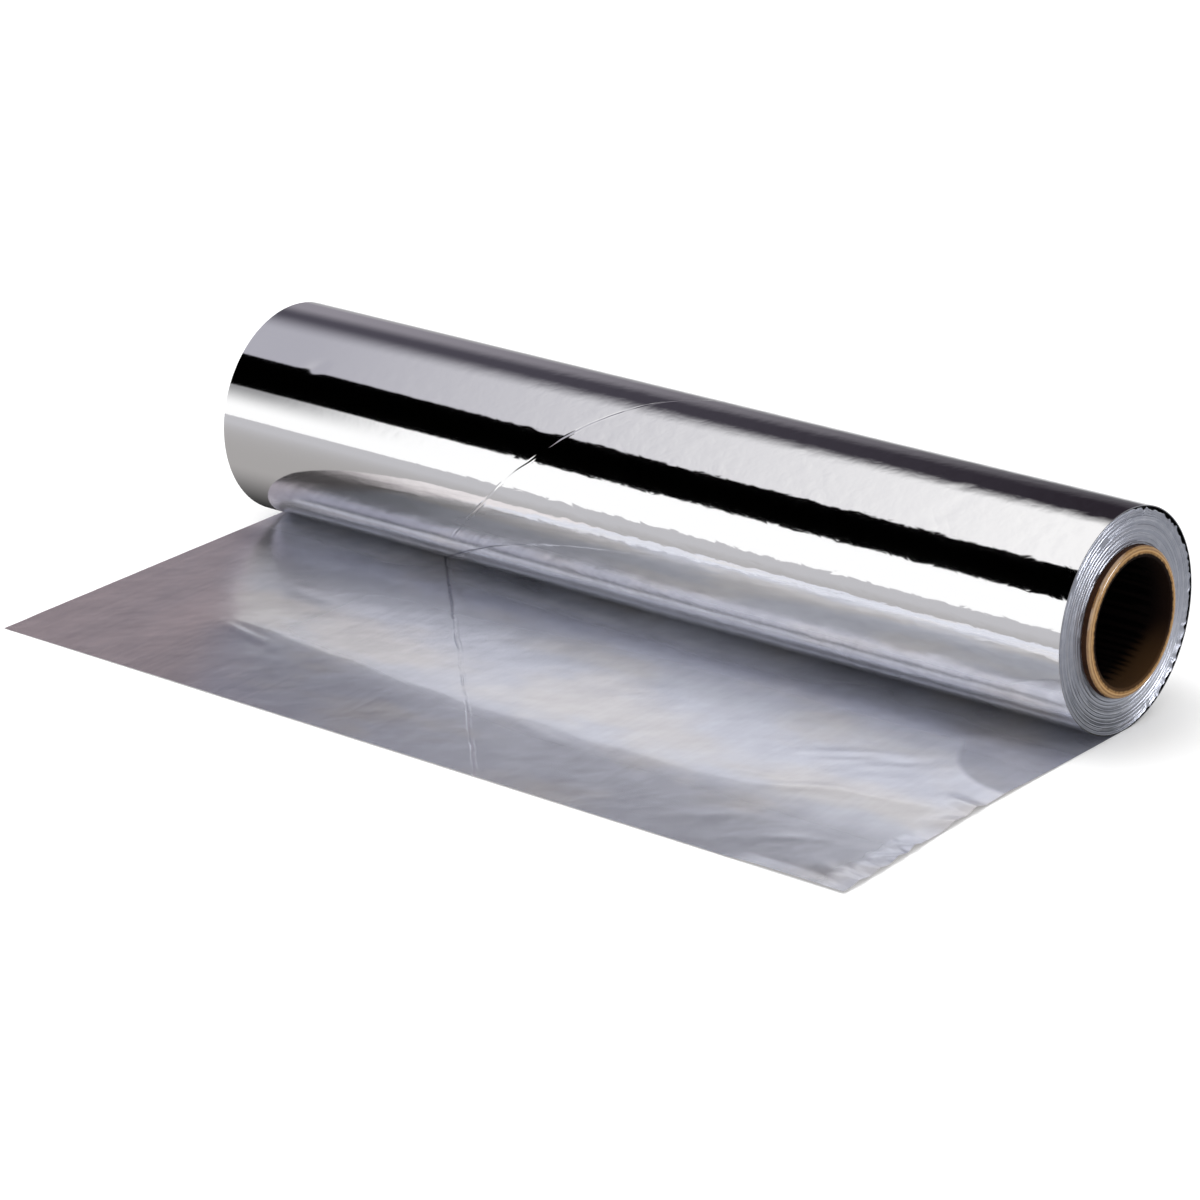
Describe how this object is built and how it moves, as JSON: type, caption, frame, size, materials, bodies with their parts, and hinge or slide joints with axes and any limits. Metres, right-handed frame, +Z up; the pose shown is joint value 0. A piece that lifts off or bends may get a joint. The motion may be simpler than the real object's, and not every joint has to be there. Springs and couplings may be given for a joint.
{
  "type": "aluminium foil roll",
  "caption": "Roll of kitchen aluminium foil wound on a paperboard core tube, lying on its side with its loose end drawn out flat in front.",
  "frame": {"origin": "centre of the core tube's bore, on the roll's axis and halfway along it", "axes": "+X along the roll's axis, +Z up; the table is below, and the loose end lies towards -Y"},
  "size_m": [0.3048, 0.1627, 0.0635],
  "materials": {
    "foil": "bright rolled outside, satin inside",
    "core_board": "brown spiral-wound paperboard"
  },
  "bodies": {
    "root": {"foil": "foil", "core_tube": "core_board"}
  },
  "joints": []
}
